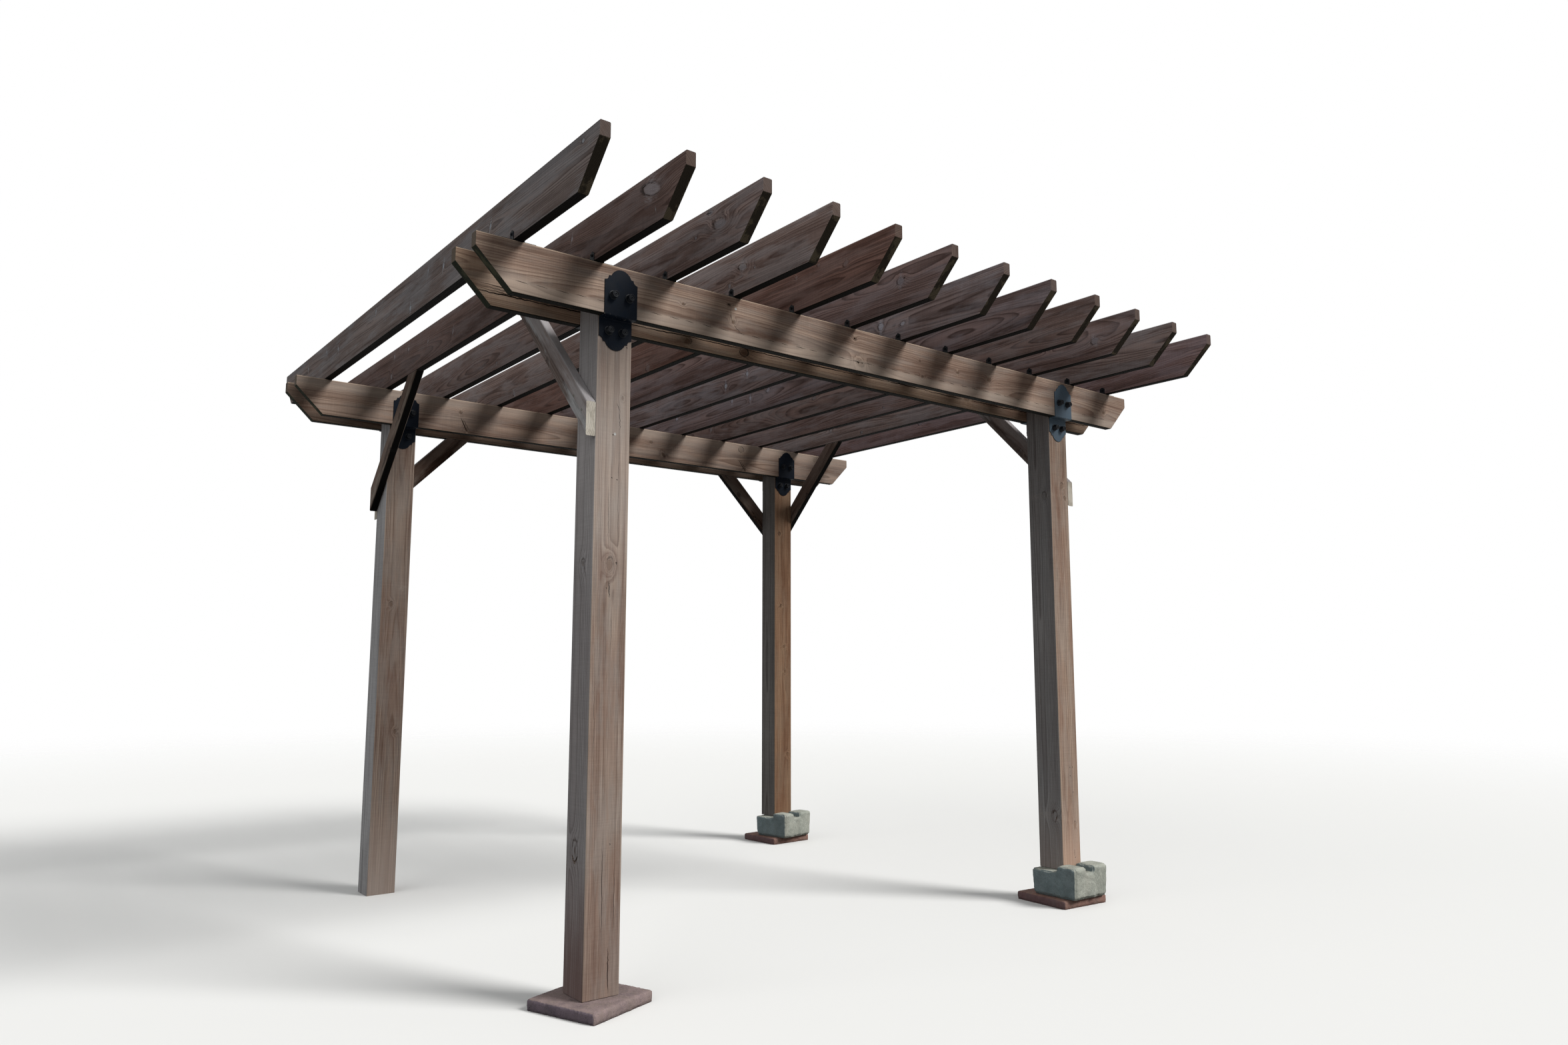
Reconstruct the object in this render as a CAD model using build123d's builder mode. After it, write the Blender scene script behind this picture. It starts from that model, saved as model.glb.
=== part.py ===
from build123d import *
from math import cos, radians, sin, tan
import os

# A garden pergola: four posts carry two pairs of beams, twelve rafters lie across them,
# and knee braces, black steel brackets and small rafter ties hold the corners.
# X runs along the beams, Y along the rafters with the open front at -Y, Z up from the floor.
# The origin is on the floor, midway between the posts.

# Boards and posts, in millimetres
board_thickness = 38
board_depth = 184
brace_depth = 89
post_width = 140
board_arris = 3
post_arris = 5

# Roof
beam_overhang = 133.6  # past the outermost rafters, for beams 3658 long
rafter_overhang = 588.5  # past the outer beams, for rafters 3658 long
rafter_count = 12
rafter_spacing = 304.8
braced_rafter = 1  # steps in from the outermost rafter to the one above the side braces
beam_underside = 2388
tail_nose = 50
tail_slope = 45

# Posts and knee braces
post_span_y = 2265
brace_slope = 45
side_brace_drop = 443  # from the beam's underside down to the brace's lowest corner
back_brace_drop = 485

# Steel brackets between posts and beams
bracket_thickness = 3
bracket_width = 133
bracket_upper = 172
bracket_lower = 118
bracket_dome = 28
bracket_cove = 17
bracket_ledge = 9
bracket_fold = 4
bolt_hole = 11
upper_bolt_pitch = 66
upper_bolt_rise = 72
lower_bolt_pitch = 56
lower_bolt_drop = 49

# Rafter ties
tie_thickness = 2
tie_width = 30
tie_foot = 44
tie_ear = 38
tie_point = 10

# Concrete feet
paver_side = 305
paver_thickness = 40
paver_arris = 4
block_side = 267
block_height = 150
block_draft = 3
block_corner = 10
block_arris = 5
pad_rise = 30
pad_depth = 112
pad_width = 98
slot_width = 50
pad_gap = 2

front_left_paver_turn = 20
front_right_paver_turn = -4
back_right_paver_turn = 3
front_right_block_turn = -1
back_right_block_turn = 10

# Worked out from the sizes above
beam_top = beam_underside + board_depth
rafter_underside = beam_top + tie_thickness
rafters_reach = (rafter_count - 1) * rafter_spacing / 2 - board_thickness / 2
post_outer_x = rafters_reach - braced_rafter * rafter_spacing
post_x = post_outer_x - post_width / 2
post_y = post_span_y / 2
post_outer_y = post_y + post_width / 2
post_inner_y = post_y - post_width / 2
beam_length = 2 * (rafters_reach + board_thickness + beam_overhang)
rafter_length = 2 * (post_outer_y + board_thickness + rafter_overhang)
block_seat = paver_thickness + block_height - pad_rise
side_brace_foot = beam_underside - side_brace_drop
back_brace_foot = beam_underside - back_brace_drop

os.makedirs("parts", exist_ok=True)


def save(part, name):
    part.label = name
    export_step(part, f"parts/{name}.step")


def along_beams(y):
    """Upright plane along the beams, local x = -X, local y = up, pushed out towards +Y."""
    return Plane(origin=(0, y, 0), x_dir=(-1, 0, 0), z_dir=(0, 1, 0))


def along_rafters(x):
    """Upright plane along the rafters, local x = +Y, local y = up, pushed out towards +X."""
    return Plane(origin=(x, 0, 0), x_dir=(0, 1, 0), z_dir=(1, 0, 0))


def tailed_board(plane, length, underside):
    """A board on edge whose two tails are plumb at the top and cut back below."""
    half = length / 2
    top = underside + board_depth
    cut_back = (board_depth - tail_nose) / tan(radians(tail_slope))
    with BuildPart() as board:
        with BuildSketch(plane):
            with BuildLine():
                Polyline(
                    (-half, top),
                    (half, top),
                    (half, top - tail_nose),
                    (half - cut_back, underside),
                    (cut_back - half, underside),
                    (-half, top - tail_nose),
                    close=True,
                )
            make_face()
        extrude(amount=board_thickness)
        grain = Axis((0, 0, 0), plane.x_dir)
        chamfer(board.edges().filter_by(grain), length=board_arris)
    return board.part


def knee_brace(plane, outer, foot, top, inward):
    """A brace from a plumb foot flush with the post to a level cut under the timber above."""
    rise = tan(radians(brace_slope))
    plumb_cut = brace_depth / cos(radians(brace_slope))
    with BuildPart() as brace:
        with BuildSketch(plane):
            with BuildLine():
                Polyline(
                    (outer, foot),
                    (outer, foot + plumb_cut),
                    (outer + inward * (top - foot - plumb_cut) / rise, top),
                    (outer + inward * (top - foot) / rise, top),
                    close=True,
                )
            make_face()
        extrude(amount=board_thickness)
        slope = plane.x_dir * inward * cos(radians(brace_slope)) + plane.y_dir * sin(radians(brace_slope))
        chamfer(brace.edges().filter_by(Axis((0, 0, 0), slope)), length=board_arris)
    return brace.part


def post(x, y, foot):
    """A square post standing on its foot, with its top level with the beams."""
    with BuildPart() as timber:
        with BuildSketch(Plane.XY.offset(foot)):
            with Locations((x, y)):
                Rectangle(post_width, post_width)
            fillet(vertices(), radius=post_arris)
        extrude(amount=beam_top - foot)
    return timber.part


def plate_outline(height, up, bolt_pitch, bolt_reach):
    """A bracket plate seen from the front: straight sides, a cove and a ledge, a dome, two bolt holes."""
    half = bracket_width / 2
    shoulder = height - bracket_dome - bracket_cove
    ledge_y = shoulder + bracket_cove
    dome_half = half - bracket_cove - bracket_ledge
    with BuildSketch() as outline:
        with BuildLine():
            Polyline((0, 0), (half, 0), (half, up * shoulder))
            RadiusArc((half, up * shoulder), (half - bracket_cove, up * ledge_y), up * bracket_cove)
            Line((half - bracket_cove, up * ledge_y), (dome_half, up * ledge_y))
            mirror(about=Plane.YZ)
            ThreePointArc((dome_half, up * ledge_y), (0, up * height), (-dome_half, up * ledge_y))
        make_face()
        with Locations((-bolt_pitch / 2, up * bolt_reach), (bolt_pitch / 2, up * bolt_reach)):
            Circle(bolt_hole / 2, mode=Mode.SUBTRACT)
    return outline.sketch


def bracket(x, face_y, outward):
    """Upper plate on the beam's face, shelf under the beam, lower plate on the post's face."""
    face = Plane(origin=(x, face_y, beam_underside), x_dir=(-outward, 0, 0), z_dir=(0, outward, 0))
    with BuildPart() as plates:
        with BuildSketch(face.offset(board_thickness)):
            add(plate_outline(bracket_upper, 1, upper_bolt_pitch, upper_bolt_rise))
        extrude(amount=bracket_thickness)
        with BuildSketch(face):
            add(plate_outline(bracket_lower, -1, lower_bolt_pitch, lower_bolt_drop))
        extrude(amount=bracket_thickness)
        with BuildSketch(face):
            with Locations((0, -bracket_thickness / 2)):
                Rectangle(bracket_width, bracket_thickness)
        extrude(amount=board_thickness + bracket_thickness)
        shelf_underside = beam_underside - bracket_thickness
        folds = plates.edges().filter_by(Axis.X)
        folds = folds.filter_by_position(Axis.Z, shelf_underside - 1, shelf_underside + 1)
        fillet(folds, radius=bracket_fold)
    return plates.part


def rafter_ties(beam_y):
    """One strap under each rafter on a beam's top edge, with a pointed ear on both its faces."""
    shoulder = rafter_underside + tie_ear - tie_point
    with BuildPart() as ties:
        for rafter_x in rafter_places:
            middle = rafter_x + board_thickness / 2
            with BuildSketch(Plane.XY.offset(beam_top)):
                with Locations((middle, beam_y)):
                    Rectangle(board_thickness + 2 * tie_foot, tie_width)
            extrude(amount=tie_thickness)
            for ear_x in (rafter_x - tie_thickness, rafter_x + board_thickness):
                with BuildSketch(along_rafters(ear_x)):
                    with BuildLine():
                        Polyline(
                            (beam_y - tie_width / 2, rafter_underside),
                            (beam_y - tie_width / 2, shoulder),
                            (beam_y, shoulder + tie_point),
                            (beam_y + tie_width / 2, shoulder),
                            (beam_y + tie_width / 2, rafter_underside),
                            close=True,
                        )
                    make_face()
                extrude(amount=tie_thickness)
    return ties.part


def block_place(turn):
    """The post's place on a block, off its middle, so that the two pads stand before the post."""
    post_reach = post_width / 2 * (cos(radians(turn)) + abs(sin(radians(turn))))
    return pad_depth - block_side / 2 + pad_gap + post_reach


def deck_block(x, y, turn):
    """A precast block with a low seat behind and two pads with a slot between them in front."""
    setback = block_place(turn)
    middle = (x + setback * sin(radians(turn)), y - setback * cos(radians(turn)))
    base = Plane(origin=(*middle, paver_thickness), x_dir=(cos(radians(turn)), sin(radians(turn)), 0))
    foot_side = block_side - 2 * block_height * tan(radians(block_draft))
    slot_x = pad_width + slot_width / 2 - block_side / 2
    with BuildPart() as block:
        with BuildSketch(base):
            Rectangle(foot_side, foot_side)
            chamfer(vertices(), length=block_corner)
        extrude(amount=block_height, taper=-block_draft)
        with BuildSketch(base.offset(block_height - pad_rise)):
            with Locations((0, pad_depth - block_side / 2)):
                Rectangle(2 * block_side, block_side, align=(Align.CENTER, Align.MIN))
            with Locations((slot_x, 0)):
                Rectangle(slot_width, 2 * block_side)
        extrude(amount=pad_rise, mode=Mode.SUBTRACT)
        pad_tops = block.faces().filter_by(Axis.Z).group_by(Axis.Z)[-1]
        chamfer(pad_tops.edges(), length=block_arris)
    return block.part


def paver(x, y, turn):
    """A square concrete slab under a block or a post."""
    base = Plane(origin=(x, y, 0), x_dir=(cos(radians(turn)), sin(radians(turn)), 0))
    with BuildPart() as slab:
        with BuildSketch(base):
            Rectangle(paver_side, paver_side)
        extrude(amount=paver_thickness)
        rim = slab.faces().sort_by(Axis.Z)[-1].edges() + slab.edges().filter_by(Axis.Z)
        chamfer(rim, length=paver_arris)
    return slab.part


# Feet
save(paver(-post_x, -post_y, front_left_paver_turn), "paver_front_left")
save(paver(post_x, -post_y, front_right_paver_turn), "paver_front_right")
save(paver(post_x, post_y, back_right_paver_turn), "paver_back_right")
save(deck_block(post_x, -post_y, front_right_block_turn), "block_front_right")
save(deck_block(post_x, post_y, back_right_block_turn), "block_back_right")

# Posts
save(post(-post_x, -post_y, paver_thickness), "post_front_left")
save(post(post_x, -post_y, block_seat), "post_front_right")
save(post(-post_x, post_y, 0), "post_back_left")
save(post(post_x, post_y, block_seat), "post_back_right")

# Beams, one board on each side of the posts
beam_places = {
    "beam_front_outer": -post_outer_y - board_thickness,
    "beam_front_inner": -post_inner_y,
    "beam_back_inner": post_inner_y - board_thickness,
    "beam_back_outer": post_outer_y,
}
for name, y in beam_places.items():
    save(tailed_board(along_beams(y), beam_length, beam_underside), name)

# Rafters, from the left
rafter_places = [i * rafter_spacing - rafters_reach - board_thickness for i in range(rafter_count)]
for number, x in enumerate(rafter_places, start=1):
    save(tailed_board(along_rafters(x), rafter_length, rafter_underside), f"rafter_{number:02d}")

# Knee braces: beside the posts up to a rafter, and behind the back posts up to the outer beam
for side, x in {"left": -post_outer_x - board_thickness, "right": post_outer_x}.items():
    plane = along_rafters(x)
    front = knee_brace(plane, -post_outer_y, side_brace_foot, rafter_underside, 1)
    back = knee_brace(plane, post_outer_y, side_brace_foot, rafter_underside, -1)
    save(front, f"side_brace_front_{side}")
    save(back, f"side_brace_back_{side}")
back_plane = along_beams(post_outer_y)
save(knee_brace(back_plane, post_outer_x, back_brace_foot, beam_underside, -1), "back_brace_left")
save(knee_brace(back_plane, -post_outer_x, back_brace_foot, beam_underside, 1), "back_brace_right")

# Brackets, on the outer and the inner face of every post
for side, x in {"left": -post_x, "right": post_x}.items():
    save(bracket(x, -post_outer_y, -1), f"bracket_front_{side}_outer")
    save(bracket(x, -post_inner_y, 1), f"bracket_front_{side}_inner")
    save(bracket(x, post_inner_y, -1), f"bracket_back_{side}_inner")
    save(bracket(x, post_outer_y, 1), f"bracket_back_{side}_outer")

# Ties along the two outer beams
outer_beam_y = post_outer_y + board_thickness / 2
save(rafter_ties(-outer_beam_y), "rafter_ties_front")
save(rafter_ties(outer_beam_y), "rafter_ties_back")
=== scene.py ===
import bpy, math, random
from mathutils import Matrix, Vector


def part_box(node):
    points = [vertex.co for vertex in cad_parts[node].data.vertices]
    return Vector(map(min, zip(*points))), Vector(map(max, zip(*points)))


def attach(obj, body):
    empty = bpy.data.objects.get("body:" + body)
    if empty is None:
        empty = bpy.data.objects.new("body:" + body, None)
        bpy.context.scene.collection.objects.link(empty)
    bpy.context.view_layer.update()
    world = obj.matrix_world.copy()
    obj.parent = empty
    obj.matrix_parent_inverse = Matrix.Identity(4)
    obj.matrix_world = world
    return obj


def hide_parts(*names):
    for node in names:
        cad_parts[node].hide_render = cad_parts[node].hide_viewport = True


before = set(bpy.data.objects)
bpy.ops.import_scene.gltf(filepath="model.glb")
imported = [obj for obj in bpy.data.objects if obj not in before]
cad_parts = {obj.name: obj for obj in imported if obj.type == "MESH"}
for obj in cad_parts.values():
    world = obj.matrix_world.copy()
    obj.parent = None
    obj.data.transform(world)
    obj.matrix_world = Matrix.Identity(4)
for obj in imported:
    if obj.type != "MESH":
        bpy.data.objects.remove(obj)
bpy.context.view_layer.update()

boxes = {node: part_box(node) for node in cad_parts}

# A weathered timber pergola. The construction comes from the frame; this script works over every
# timber, steel plate and concrete foot, adds the bolts and screws, and sets up the studio.


def deselectAll():
    if bpy.context.mode != "OBJECT":
        bpy.ops.object.mode_set(mode="OBJECT")
    bpy.ops.object.select_all(action="DESELECT")


def pick(*pieces):
    deselectAll()
    for piece in pieces:
        piece.select_set(True)
    bpy.context.view_layer.objects.active = pieces[0]


def joined(pieces, name):
    pick(*pieces)
    bpy.ops.object.join()
    pieces[0].name = name
    return pieces[0]


def applyModifier(piece, kind, **values):
    pick(piece)
    bpy.ops.object.modifier_add(type=kind)
    modifier = piece.modifiers[-1]
    for key, value in values.items():
        setattr(modifier, key, value)
    bpy.ops.object.modifier_apply(modifier=modifier.name)


def bevelEdges(piece, width, degrees):
    applyModifier(piece, "BEVEL", width=width, segments=2, limit_method="ANGLE",
                  angle_limit=math.radians(degrees))


def smoothByAngle(piece, degrees):
    pick(piece)
    bpy.ops.object.shade_smooth_by_angle(angle=math.radians(degrees))


def workingCopy(node, name):
    piece = bpy.data.objects.new(name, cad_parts[node].data.copy())
    bpy.context.scene.collection.objects.link(piece)
    pick(piece)
    bpy.ops.object.mode_set(mode="EDIT")
    bpy.ops.mesh.select_all(action="SELECT")
    bpy.ops.mesh.remove_doubles(threshold=0.00002)
    bpy.ops.mesh.dissolve_limited(angle_limit=math.radians(1))
    bpy.ops.object.mode_set(mode="OBJECT")
    return piece


def handOver(piece, node, material, slot):
    piece.data.materials.clear()
    piece.data.materials.append(material)
    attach(piece, "root")
    if node:
        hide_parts(node)


def rgb(red, green, blue):
    # colours are written as the eye reads them, 0 to 255
    return tuple((c / 255 / 12.92) if c / 255 <= 0.04045 else ((c / 255 + 0.055) / 1.055) ** 2.4
                 for c in (red, green, blue)) + (1.0,)


def addNode(tree, kind, inputs=None, **settings):
    node = tree.nodes.new(kind)
    for key, value in settings.items():
        setattr(node, key, value)
    for key, value in (inputs or {}).items():
        if isinstance(value, Wire):
            tree.links.new(value.socket, node.inputs[key])
        else:
            node.inputs[key].default_value = value
    return Outputs(node)


class Outputs:
    def __init__(self, node):
        self.node = node

    def __getitem__(self, key):
        return Wire(self.node.outputs[key])


class Wire:
    # an output to reckon on with: each step puts one more node into its tree
    def __init__(self, socket):
        self.socket, self.tree = socket, socket.id_data

    def to(self, node, label):
        self.tree.links.new(self.socket, node.inputs[label])

    def math(self, operation, *others):
        return addNode(self.tree, "ShaderNodeMath", dict(enumerate((self, *others))), operation=operation)[0]

    def __add__(self, other):
        return self.math("ADD", other)

    def __sub__(self, other):
        return self.math("SUBTRACT", other)

    def __mul__(self, other):
        return self.math("MULTIPLY", other)

    def vector(self, operation, *others, output=0):
        values = dict(enumerate((self, *others)))
        return addNode(self.tree, "ShaderNodeVectorMath", values, operation=operation)[output]

    def stretch(self, *scales):
        return self.vector("MULTIPLY", scales)

    def length(self):
        return self.vector("LENGTH", output=1)

    def axes(self):
        return addNode(self.tree, "ShaderNodeSeparateXYZ", {0: self})

    def noise(self, scale, detail=2.0, roughness=0.5):
        return addNode(self.tree, "ShaderNodeTexNoise", {"Vector": self, "Scale": scale, "Detail": detail,
                                                         "Roughness": roughness})[0]

    def remap(self, fromMin, fromMax, toMin=0.0, toMax=1.0, kind="SMOOTHSTEP"):
        return addNode(self.tree, "ShaderNodeMapRange", {0: self, 1: fromMin, 2: fromMax, 3: toMin, 4: toMax},
                       interpolation_type=kind)[0]

    def spread(self, toMin, toMax):
        # a mask from 0 to 1 becomes an even run between two values
        return self.remap(0.0, 1.0, toMin, toMax, "LINEAR")

    def within(self, centre, turn, size=(1, 1, 1)):
        # the same place as a box sees it, with the box's middle as origin and its size as unit
        values = {"Vector": self, "Location": centre, "Rotation": turn, "Scale": size}
        return addNode(self.tree, "ShaderNodeMapping", values, vector_type="TEXTURE")[0]

    def mix(self, first, second):
        return addNode(self.tree, "ShaderNodeMix", {0: self, 6: first, 7: second}, data_type="RGBA")[2]


def tinted(tree, colour, tint):
    return addNode(tree, "ShaderNodeMix", {0: 1.0, 6: colour, 7: tint}, data_type="RGBA",
                   blend_type="MULTIPLY")[2]


def multiplied(colour, grey):
    tint = addNode(grey.tree, "ShaderNodeCombineColor", {0: grey, 1: grey, 2: grey})[0]
    return tinted(grey.tree, colour, tint)


def addBump(surface, height, strength, distance):
    values = {"Strength": strength, "Distance": distance, "Height": height}
    addNode(height.tree, "ShaderNodeBump", values)[0].to(surface, "Normal")


def newGroup(name, inputs, outputs):
    # an input is a number where its default is one, and a vector otherwise; every output is a mask or a value
    tree = bpy.data.node_groups.new(name, "ShaderNodeTree")
    for label, default in inputs.items():
        kind = "NodeSocketFloat" if isinstance(default, float) else "NodeSocketVector"
        socket = tree.interface.new_socket(name=label, in_out="INPUT", socket_type=kind)
        if default is not None:
            socket.default_value = default
    for label in outputs:
        tree.interface.new_socket(name=label, in_out="OUTPUT", socket_type="NodeSocketFloat")
    ends = tree.nodes.new("NodeGroupOutput")
    return tree, addNode(tree, "NodeGroupInput"), lambda label, wire: wire.to(ends, label)


def placeGroup(tree, group, values):
    return addNode(tree, "ShaderNodeGroup", values, node_tree=group)


def newMaterial(name):
    material = bpy.data.materials.new(name)
    material.use_nodes = True
    tree = material.node_tree
    return material, tree, tree.nodes["Principled BSDF"], addNode(tree, "ShaderNodeTexCoord")["Object"]


def makeKnotGroup():
    # unit space: the knot's rim is at distance 1
    tree, given, put = newGroup("timberKnot", {"Vector": None, "Tail": 0.6}, ("Push", "Core", "Rim", "Tail"))
    ragged = given["Vector"].noise(1.7) - 0.5
    reach = given["Vector"].length() + ragged * 0.5
    put("Push", (reach.math("POWER", 2.0) * -0.32).math("EXPONENT"))
    put("Core", reach.remap(1.0, 0.62))
    axes = given["Vector"].axes()
    side = axes[0] + ragged * 5.0
    # the rim is the knot's dark ring, darker on one side as a painted shade in the gap round the knot
    put("Rim", reach.remap(0.78, 1.0) * reach.remap(1.28, 1.0) * side.remap(-0.6, 0.7, 0.25, 1.0))
    # pale torn grain that trails off across the board
    far = axes[1].math("ABSOLUTE")
    across = ((axes[0] + ragged * 1.6).math("ABSOLUTE") + far * 0.24).remap(1.1, 0.35)
    torn = given["Vector"].stretch(2.0, 7.0, 2.0).noise(1.0, 3.0).remap(0.36, 0.62)
    put("Tail", across * far.remap(4.0, 1.2) * torn * given["Tail"])
    return tree


def makeGrainGroup():
    tree, given, put = newGroup(
        "timberGrain",
        {"Vector": None, "Seed": (0, 0, 0), "Pith": (0, 0.02, 0.08), "Ring Width": 0.0042, "Wander": 0.03,
         "Push": 0.0},
        ("Ring", "Fibre", "Streak", "Band", "Saw", "Silver"))
    place = given["Vector"].vector("ADD", given["Seed"])
    slow = place.stretch(0.7, 3.0, 3.0).noise(1.0, 1.0) - 0.5
    quick = place.stretch(5.0, 26.0, 26.0).noise(1.0) - 0.5
    radius = given["Vector"].vector("SUBTRACT", given["Pith"]).stretch(0.0, 1.0, 1.0).length()
    radius = radius + slow * given["Wander"] + quick * 0.0024 + given["Push"]
    # rings of uneven width, pale first and darkest just before the next one
    phase = radius.math("DIVIDE", given["Ring Width"])
    uneven = addNode(tree, "ShaderNodeCombineXYZ", {0: phase * 0.31})[0]
    part = (phase + uneven.noise(1.0, 1.0) * 2.4).math("FRACT")
    put("Ring", part.remap(0.0, 0.86, kind="LINEAR").math("POWER", 2.6) * part.remap(1.0, 0.9))
    put("Fibre", place.stretch(7.0, 520.0, 520.0).noise(1.0, 3.0, 0.62).remap(0.28, 0.72, kind="LINEAR"))
    put("Silver", place.stretch(11.0, 330.0, 330.0).noise(1.0, 2.0, 0.6).remap(0.58, 0.74))
    # dark streaks and broad bands run with the rings, so they bend round the knots
    spot = place.axes()
    for label, wide, rough, low, high in (("Streak", 75.0, 0.6, 0.46, 0.72), ("Band", 26.0, 0.5, 0.38, 0.66)):
        values = {0: spot[0] * 1.3, 1: radius * wide, 2: spot[1] * 6.0}
        drawn = addNode(tree, "ShaderNodeCombineXYZ", values)[0]
        put(label, drawn.noise(1.0, 2.0, rough).remap(low, high))
    put("Saw", place.stretch(210.0, 9.0, 9.0).noise(1.0, 2.0, 0.6).remap(0.3, 0.7, kind="LINEAR"))
    return tree


def makeWeatherAndPaintedLightGroup():
    # blotches of grey, the worn arris along a timber, its two kinds of cut end, and where painted shade goes
    # on its underside and shaded side and a painted highlight on its upward lips
    tree, given, put = newGroup(
        "timberWeatherAndPaintedLight",
        {"Vector": None, "Seed": (0, 0, 0), "Normal": None, "Along": (1, 0, 0), "Half Width": 0.092,
         "Half Depth": 0.019, "Arris": 0.006},
        ("Blotch", "Arris", "Plumb End", "Sloped End", "Underside", "Lip", "Shade Side"))
    place = given["Vector"].vector("ADD", given["Seed"])
    put("Blotch", place.stretch(3.2, 17.0, 17.0).noise(1.0, 4.0, 0.62).remap(0.42, 0.62))
    axes = given["Vector"].axes()
    gap = given["Half Width"] - axes[1].math("ABSOLUTE") + (given["Half Depth"] - axes[2].math("ABSOLUTE"))
    ragged = place.stretch(9.0, 60.0, 60.0).noise(1.0, 3.0) * given["Arris"]
    put("Arris", (gap - ragged).remap(0.0035, 0.0))
    facing = given["Normal"].vector("DOT_PRODUCT", given["Along"], output=1).math("ABSOLUTE")
    put("Plumb End", facing.remap(0.85, 0.95))
    put("Sloped End", facing.remap(0.5, 0.62) * facing.remap(0.92, 0.82))
    sides = given["Normal"].axes()
    # the underside gets a painted shade
    put("Underside", sides[2].remap(-0.55, -0.7))
    # upper arrises and the lower lips of slits get a painted highlight, as they face up
    put("Lip", sides[2].remap(0.2, 0.45) * sides[2].remap(0.98, 0.9))
    # faces turned to -x get a painted shade
    put("Shade Side", sides[0].remap(-0.5, -0.85))
    return tree


knotGroup = makeKnotGroup()
grainGroup = makeGrainGroup()
weatherAndPaintedLightGroup = makeWeatherAndPaintedLightGroup()


def timberMaterial(name, timber, finish, knots):
    material, tree, surface, place = newMaterial(name)
    turn = Matrix((timber["along"], timber["across"], timber["through"])).transposed().to_euler()
    local = place.within(timber["centre"], turn)
    push, core, rim, tail = 0.0, 0.0, 0.0, 0.0
    for centre, size, lean, pushes, pale in knots:
        knot = placeGroup(tree, knotGroup, {"Vector": local.within(centre, (0, 0, lean), size), "Tail": pale})
        push = knot["Push"] * pushes + push
        core = knot["Core"].math("MAXIMUM", core)
        rim = knot["Rim"].math("MAXIMUM", rim)
        tail = knot["Tail"].math("MAXIMUM", tail)
    grain = placeGroup(tree, grainGroup, {
        "Vector": local, "Seed": timber["seed"], "Pith": timber["pith"], "Ring Width": finish["ringWidth"],
        "Wander": finish["wander"], "Push": push})
    normal = addNode(tree, "ShaderNodeNewGeometry")["True Normal"]
    weatherAndPaintedLight = placeGroup(tree, weatherAndPaintedLightGroup, {
        "Vector": local, "Seed": timber["seed"], "Normal": normal, "Along": timber["along"],
        "Half Width": timber["halfWidth"], "Half Depth": timber["halfDepth"], "Arris": finish["arris"]})
    colour = finish["early"]
    for mask, share, tint in (
            (grain["Ring"], finish["ringDepth"], "late"), (grain["Band"], finish["banding"], "band"),
            (grain["Streak"], finish["streaking"], "streak"), (weatherAndPaintedLight["Blotch"], finish["greying"], "grey"),
            (tail, 0.75, "tornGrain"), (core, 0.72, "knot"), (rim, 0.7, "rim")):
        colour = (mask * share).mix(colour, finish[tint])
    fibres = (grain["Fibre"].spread(1.0 - finish["fibreDepth"], 1.0 + finish["fibreDepth"])
              * grain["Saw"].spread(1.0 - finish["sawDepth"], 1.0 + finish["sawDepth"]))
    colour = (weatherAndPaintedLight["Arris"] * 0.55).mix(multiplied(colour, fibres), finish["wornArris"])
    if "strip" in finish:  # a paler part, on the beams a painted light: its axis, where it begins, where it is full, its share and colour
        axis, begins, full, share, pale = finish["strip"]
        edge = local.axes()[axis] + grain["Band"] * 0.012
        colour = edge.remap(begins, full, 0.0, share).mix(colour, pale)
    colour = (grain["Silver"] * finish["silvering"]).mix(colour, finish["silver"])
    colour = tinted(tree, colour, timber["tone"])
    # the side away from the sun gets a painted shade, a colder grey that keeps its rings and knots
    rings = fibres * grain["Ring"].spread(1.16, 0.66) * grain["Band"].spread(1.06, 0.84)
    shade = (tail * 0.6).mix(multiplied(finish["shadeSide"], rings), finish["tornGrain"])
    shade = (rim * 0.7).mix(shade, finish["rim"])
    colour = (weatherAndPaintedLight["Shade Side"] * finish["shading"]).mix(colour, shade)
    if "foot" in finish:  # the lowest half metre of a post
        foot = (place.axes()[2] + grain["Fibre"] * 0.12).remap(0.62, 0.14)
        footShare = weatherAndPaintedLight["Shade Side"].spread(finish["frontFoot"], finish["shadeFoot"])
        colour = (foot * footShare).mix(colour, finish["foot"])
    # a painted highlight, in the torn grain colour, on the faces that tilt up
    colour = (weatherAndPaintedLight["Lip"] * finish["lip"]).mix(colour, finish["tornGrain"])
    # painted shade under every timber, near black on beams and rafters
    colour = weatherAndPaintedLight["Underside"].mix(colour, finish["underside"])
    # growth rings still show through the weathered ends
    endRings = grain["Ring"].spread(1.15, 0.55)
    mossy = weatherAndPaintedLight["Blotch"].remap(0.3, 0.9).mix(finish["slopedEnd"], finish["slopedEndPale"])
    colour = (weatherAndPaintedLight["Plumb End"] * 0.85).mix(colour, multiplied(finish["plumbEnd"], endRings))
    colour = (weatherAndPaintedLight["Sloped End"] * 0.92).mix(colour, multiplied(mossy, endRings))
    colour.to(surface, "Base Color")
    (grain["Ring"].spread(0.88, 0.74) - core * 0.15).to(surface, "Roughness")
    surface.inputs["Specular IOR Level"].default_value = 0.05
    relief = grain["Ring"] * 0.5 + grain["Fibre"] * 0.45 + grain["Saw"] * 0.15
    addBump(surface, relief - rim * 1.2, 0.55, 0.0009)
    return material


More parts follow.
